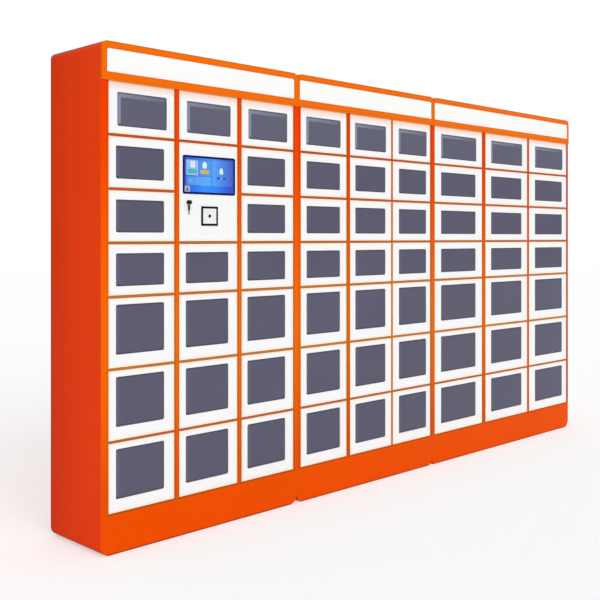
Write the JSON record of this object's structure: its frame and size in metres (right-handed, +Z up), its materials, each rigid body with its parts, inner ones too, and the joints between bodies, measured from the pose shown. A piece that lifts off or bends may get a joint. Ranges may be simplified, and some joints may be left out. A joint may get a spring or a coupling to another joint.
{
  "type": "refrigerated smart locker",
  "caption": "Bank of insulated orange cabinets with glazed white hinged doors, header signs, a plinth and a service door with touch screen, cam lock and reader.",
  "frame": {"origin": "middle of the bounding box, on the floor", "axes": "+X along the bank to the right as seen from the front, +Y to the back, +Z up; the doors face -Y"},
  "size_m": [3.729, 0.4206, 2.1],
  "materials": {
    "orange_paint": "satin powder coat, orange",
    "white_paint": "satin powder coat, white, with dark tinted double glazing",
    "white_acrylic": "opal acrylic, smooth",
    "lamp": "white lamp housing with frosted lens",
    "stainless": "brushed stainless sheet",
    "foam": "rigid foam, pale yellow",
    "lock_plastic": "black moulded lock body",
    "black_enamel": "black enamel",
    "aluminium": "bare aluminium",
    "fan_plastic": "black moulded plastic",
    "copper": "drawn copper tube",
    "zinc": "bright zinc plated steel",
    "grey_steel": "grey painted sheet case",
    "black_plastic": "black moulded plastic",
    "screen_glass": "gloss touch glass over a lit blue display",
    "navy_bezel": "gloss dark navy bezel",
    "reader": "black frame with a white face plate and a dark lens",
    "black_chrome": "black chrome lock barrel",
    "key_black": "black key head on a nickel plated key"
  },
  "bodies": {
    "root": {"casing_1": "orange_paint", "fasteners": "zinc", "back_panels": "orange_paint", "face_frame_1": "orange_paint", "compartments_1": "stainless", "insulation": "foam", "header_frames": "orange_paint", "sign_panels": "white_acrylic", "header_lamps": "lamp", "plinth_panels": "orange_paint", "electric_locks": "lock_plastic", "levelling_feet": "zinc", "compressors": "black_enamel", "condensers": "aluminium", "evaporators": "aluminium", "refrigerant_pipes": "copper", "casing_2": "orange_paint", "face_frame_2": "orange_paint", "compartments_2": "stainless", "casing_3": "orange_paint", "face_frame_3": "orange_paint", "compartments_3": "stainless", "control_electronics": "grey_steel", "mains_inlet": "black_plastic"},
    "door_a1": {"door_a1": "white_paint"},
    "door_a2": {"door_a2": "white_paint"},
    "door_a3": {"door_a3": "white_paint"},
    "door_a4": {"door_a4": "white_paint"},
    "door_a5": {"door_a5": "white_paint"},
    "door_a6": {"door_a6": "white_paint"},
    "door_a7": {"door_a7": "white_paint"},
    "door_b1": {"door_b1": "white_paint"},
    "door_b4": {"door_b4": "white_paint"},
    "door_b5": {"door_b5": "white_paint"},
    "door_b6": {"door_b6": "white_paint"},
    "door_b7": {"door_b7": "white_paint"},
    "door_c1": {"door_c1": "white_paint"},
    "door_c2": {"door_c2": "white_paint"},
    "door_c3": {"door_c3": "white_paint"},
    "door_c4": {"door_c4": "white_paint"},
    "door_c5": {"door_c5": "white_paint"},
    "door_c6": {"door_c6": "white_paint"},
    "door_c7": {"door_c7": "white_paint"},
    "door_column_d": {"door_column_d": "white_paint"},
    "door_column_e": {"door_column_e": "white_paint"},
    "door_column_f": {"door_column_f": "white_paint"},
    "door_column_g": {"door_column_g": "white_paint"},
    "door_column_h": {"door_column_h": "white_paint"},
    "door_column_i": {"door_column_i": "white_paint"},
    "service_door": {"service_door": "white_paint", "screen_housing": "navy_bezel", "touch_screen": "screen_glass", "card_reader": "reader", "cam_lock": "black_chrome"},
    "lock_key": {"lock_key": "key_black"},
    "spare_key": {"spare_key": "key_black"},
    "condenser_fan_1": {"condenser_fan_1": "fan_plastic"},
    "condenser_fan_2": {"condenser_fan_2": "fan_plastic"},
    "condenser_fan_3": {"condenser_fan_3": "fan_plastic"}
  },
  "joints": [
    {"name": "door_a1_hinge", "type": "hinge", "parent": "root", "child": "door_a1", "pos_m": [-1.8215, -0.17875, 1.8335], "axis": [0, 0, -1], "range_deg": [0, 90]},
    {"name": "door_a2_hinge", "type": "hinge", "parent": "root", "child": "door_a2", "pos_m": [-1.8215, -0.17875, 1.609], "axis": [0, 0, -1], "range_deg": [0, 90]},
    {"name": "door_a3_hinge", "type": "hinge", "parent": "root", "child": "door_a3", "pos_m": [-1.8215, -0.17875, 1.387], "axis": [0, 0, -1], "range_deg": [0, 90]},
    {"name": "door_a4_hinge", "type": "hinge", "parent": "root", "child": "door_a4", "pos_m": [-1.8215, -0.17875, 1.165], "axis": [0, 0, -1], "range_deg": [0, 90]},
    {"name": "door_a5_hinge", "type": "hinge", "parent": "root", "child": "door_a5", "pos_m": [-1.8215, -0.17875, 0.9055], "axis": [0, 0, -1], "range_deg": [0, 90]},
    {"name": "door_a6_hinge", "type": "hinge", "parent": "root", "child": "door_a6", "pos_m": [-1.8215, -0.17875, 0.6085], "axis": [0, 0, -1], "range_deg": [0, 90]},
    {"name": "door_a7_hinge", "type": "hinge", "parent": "root", "child": "door_a7", "pos_m": [-1.8215, -0.17875, 0.3115], "axis": [0, 0, -1], "range_deg": [0, 90]},
    {"name": "door_b1_hinge", "type": "hinge", "parent": "root", "child": "door_b1", "pos_m": [-1.462, -0.17875, 1.8335], "axis": [0, 0, -1], "range_deg": [0, 90]},
    {"name": "door_b4_hinge", "type": "hinge", "parent": "root", "child": "door_b4", "pos_m": [-1.462, -0.17875, 1.165], "axis": [0, 0, -1], "range_deg": [0, 90]},
    {"name": "door_b5_hinge", "type": "hinge", "parent": "root", "child": "door_b5", "pos_m": [-1.462, -0.17875, 0.9055], "axis": [0, 0, -1], "range_deg": [0, 90]},
    {"name": "door_b6_hinge", "type": "hinge", "parent": "root", "child": "door_b6", "pos_m": [-1.462, -0.17875, 0.6085], "axis": [0, 0, -1], "range_deg": [0, 90]},
    {"name": "door_b7_hinge", "type": "hinge", "parent": "root", "child": "door_b7", "pos_m": [-1.462, -0.17875, 0.3115], "axis": [0, 0, -1], "range_deg": [0, 90]},
    {"name": "door_c1_hinge", "type": "hinge", "parent": "root", "child": "door_c1", "pos_m": [-1.1025, -0.17875, 1.8335], "axis": [0, 0, -1], "range_deg": [0, 90]},
    {"name": "door_c2_hinge", "type": "hinge", "parent": "root", "child": "door_c2", "pos_m": [-1.1025, -0.17875, 1.609], "axis": [0, 0, -1], "range_deg": [0, 90]},
    {"name": "door_c3_hinge", "type": "hinge", "parent": "root", "child": "door_c3", "pos_m": [-1.1025, -0.17875, 1.387], "axis": [0, 0, -1], "range_deg": [0, 90]},
    {"name": "door_c4_hinge", "type": "hinge", "parent": "root", "child": "door_c4", "pos_m": [-1.1025, -0.17875, 1.165], "axis": [0, 0, -1], "range_deg": [0, 90]},
    {"name": "door_c5_hinge", "type": "hinge", "parent": "root", "child": "door_c5", "pos_m": [-1.1025, -0.17875, 0.9055], "axis": [0, 0, -1], "range_deg": [0, 90]},
    {"name": "door_c6_hinge", "type": "hinge", "parent": "root", "child": "door_c6", "pos_m": [-1.1025, -0.17875, 0.6085], "axis": [0, 0, -1], "range_deg": [0, 90]},
    {"name": "door_c7_hinge", "type": "hinge", "parent": "root", "child": "door_c7", "pos_m": [-1.1025, -0.17875, 0.3115], "axis": [0, 0, -1], "range_deg": [0, 90]},
    {"name": "door_column_d_hinge", "type": "hinge", "parent": "root", "child": "door_column_d", "pos_m": [-0.7175, -0.17875, 1.055], "axis": [0, 0, -1], "range_deg": [0, 90]},
    {"name": "door_column_e_hinge", "type": "hinge", "parent": "root", "child": "door_column_e", "pos_m": [-0.3565, -0.17875, 1.055], "axis": [0, 0, -1], "range_deg": [0, 90]},
    {"name": "door_column_f_hinge", "type": "hinge", "parent": "root", "child": "door_column_f", "pos_m": [-0.0105, -0.17875, 1.055], "axis": [0, 0, -1], "range_deg": [0, 90]},
    {"name": "door_column_g_hinge", "type": "hinge", "parent": "root", "child": "door_column_g", "pos_m": [0.365, -0.17875, 1.055], "axis": [0, 0, -1], "range_deg": [0, 90]},
    {"name": "door_column_h_hinge", "type": "hinge", "parent": "root", "child": "door_column_h", "pos_m": [0.877, -0.17875, 1.055], "axis": [0, 0, -1], "range_deg": [0, 90]},
    {"name": "door_column_i_hinge", "type": "hinge", "parent": "root", "child": "door_column_i", "pos_m": [1.3745, -0.17875, 1.055], "axis": [0, 0, -1], "range_deg": [0, 90]},
    {"name": "service_door_hinge", "type": "hinge", "parent": "root", "child": "service_door", "pos_m": [-1.141, -0.17875, 1.498], "axis": [0, 0, 1], "range_deg": [0, 90]},
    {"name": "key_turn", "type": "hinge", "parent": "service_door", "child": "lock_key", "pos_m": [-1.419, -0.18725, 1.453], "axis": [0, 1, 0], "range_deg": [0, 90]},
    {"name": "spare_key_swing", "type": "hinge", "parent": "service_door", "child": "spare_key", "pos_m": [-1.419, -0.19125, 1.453], "axis": [0, 1, 0], "range_deg": [-30, 30]},
    {"name": "condenser_fan_1_spin", "type": "hinge", "parent": "root", "child": "condenser_fan_1", "pos_m": [-1.5995, 0.10725, 0.065], "axis": [0, 1, 0], "continuous": true},
    {"name": "condenser_fan_2_spin", "type": "hinge", "parent": "root", "child": "condenser_fan_2", "pos_m": [-0.4955, 0.10725, 0.065], "axis": [0, 1, 0], "continuous": true},
    {"name": "condenser_fan_3_spin", "type": "hinge", "parent": "root", "child": "condenser_fan_3", "pos_m": [0.587, 0.10725, 0.065], "axis": [0, 1, 0], "continuous": true}
  ]
}
